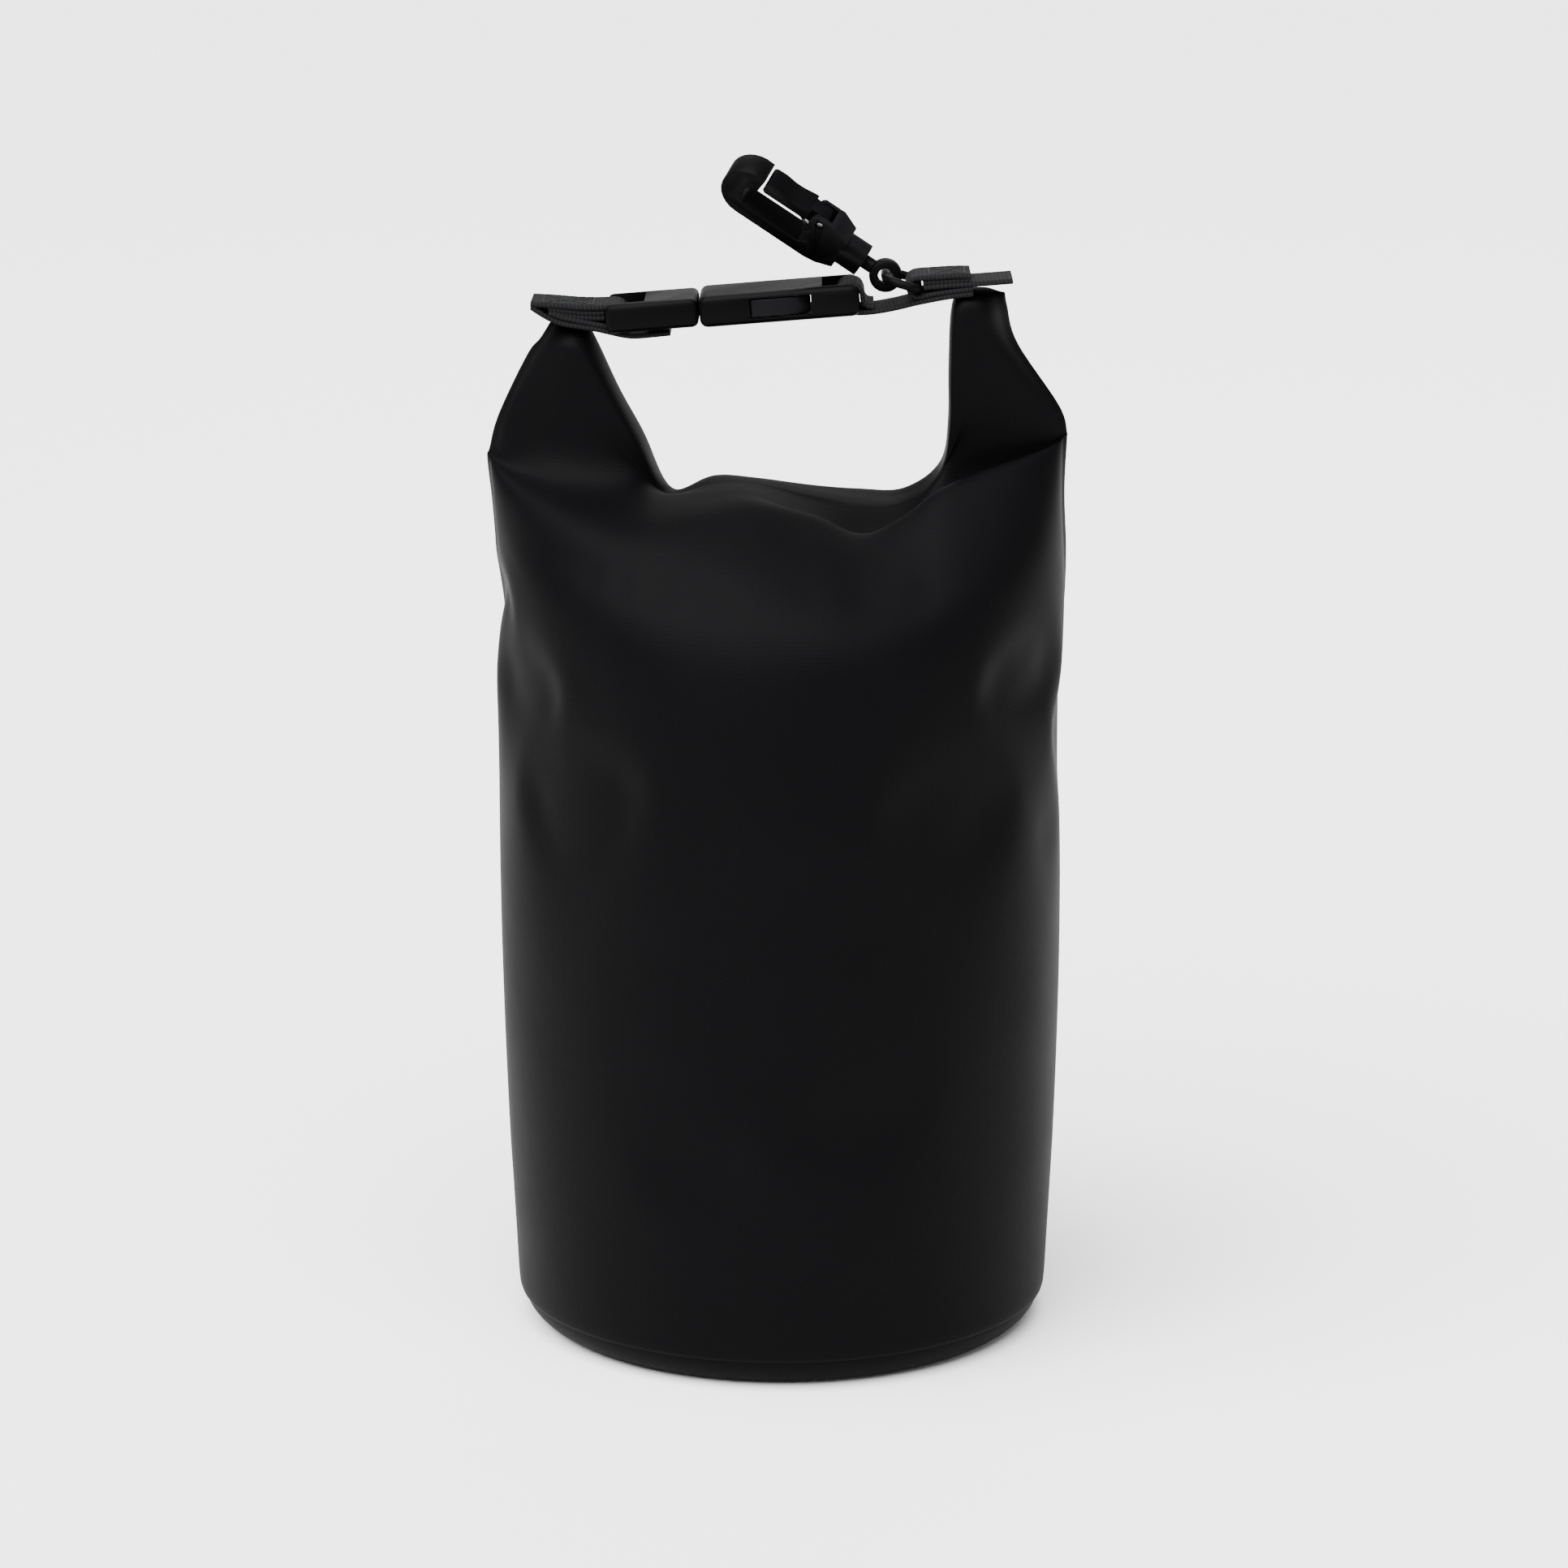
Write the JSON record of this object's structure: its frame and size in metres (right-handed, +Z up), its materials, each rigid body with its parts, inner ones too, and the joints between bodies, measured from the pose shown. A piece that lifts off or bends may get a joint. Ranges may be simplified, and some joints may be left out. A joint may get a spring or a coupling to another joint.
{
  "type": "rope storage bag",
  "caption": "Roll-top rope storage bag: round welded tarpaulin tube whose rolled mouth is folded up into a buckled carrying handle, with a ring and a swivel snap hook.",
  "frame": {"origin": "centre of the underside of the base, on the surface that the bag stands on", "axes": "+Z up through the bag, +X towards the hook end of the handle, +Y towards the back of the bag"},
  "size_m": [0.174, 0.1718, 0.3635],
  "materials": {
    "tarpaulin": "black PVC-coated polyester, semi-matt with soft broad sheen, fine scrim texture",
    "webbing": "black flat-woven polyester webbing, matt, stitched",
    "acetal": "black moulded acetal, satin",
    "strip_plastic": "dark stiff plastic strip, hidden in the roll",
    "spring_steel": "bright spring steel, hidden in the hook"
  },
  "bodies": {
    "root": {"body_panel": "tarpaulin", "base_disc": "tarpaulin", "back_seam_tape": "tarpaulin", "roll_top": "tarpaulin", "mouth_stiffener": "strip_plastic", "left_ear_root": "tarpaulin", "right_ear": "tarpaulin", "right_webbing": "webbing", "buckle_female_shell": "acetal"},
    "left_end": {"left_ear_end": "tarpaulin", "left_webbing": "webbing", "buckle_male_frame": "acetal"},
    "arm_back": {"buckle_arm_back": "acetal"},
    "arm_front": {"buckle_arm_front": "acetal"},
    "ring": {"d_ring": "acetal"},
    "eye": {"swivel_eye": "acetal"},
    "hook": {"hook_body": "acetal", "gate_pin": "spring_steel", "gate_spring": "spring_steel"},
    "gate": {"hook_gate": "acetal"}
  },
  "joints": [
    {"name": "buckle_release", "type": "slide", "parent": "root", "child": "left_end", "axis": [-0.9969, 0, -0.0785], "range_m": [0, 0.034], "deforming": ["buckle_arm_back", "buckle_arm_front"]},
    {"name": "arm_front_press", "type": "hinge", "parent": "left_end", "child": "arm_front", "pos_m": [-0.02458, -0.01077, 0.31822], "axis": [-0.0783, 0.0698, 0.9945], "range_deg": [0, 9], "stiffness_Nm_per_rad": 0.05},
    {"name": "arm_back_press", "type": "hinge", "parent": "left_end", "child": "arm_back", "pos_m": [-0.02447, 0.01077, 0.31672], "axis": [0.0783, -0.0698, -0.9945], "range_deg": [0, 9], "stiffness_Nm_per_rad": 0.05},
    {"name": "ring_swing", "type": "hinge", "parent": "root", "child": "ring", "pos_m": [0.04093, 0.00013, 0.32442], "axis": [0.0055, 0.9976, -0.0695], "range_deg": [0, 70]},
    {"name": "eye_tilt", "type": "hinge", "parent": "ring", "child": "eye", "pos_m": [0.0313, 0.00036, 0.32709], "axis": [0.0055, 0.9976, -0.0695], "range_deg": [0, 50]},
    {"name": "hook_swivel", "type": "hinge", "parent": "eye", "child": "hook", "pos_m": [0.0313, 0.00036, 0.32709], "axis": [-0.8338, 0.0429, 0.5504], "continuous": true},
    {"name": "gate_open", "type": "hinge", "parent": "hook", "child": "gate", "pos_m": [0.01283, -0.00192, 0.34508], "axis": [-0.3442, -0.8199, -0.4574], "range_deg": [0, 18], "stiffness_Nm_per_rad": 0.02, "deforming": ["gate_spring"]}
  ],
  "couplings": [
    {"joint": "arm_back_press", "follows": "arm_front_press", "ratio": 1}
  ]
}
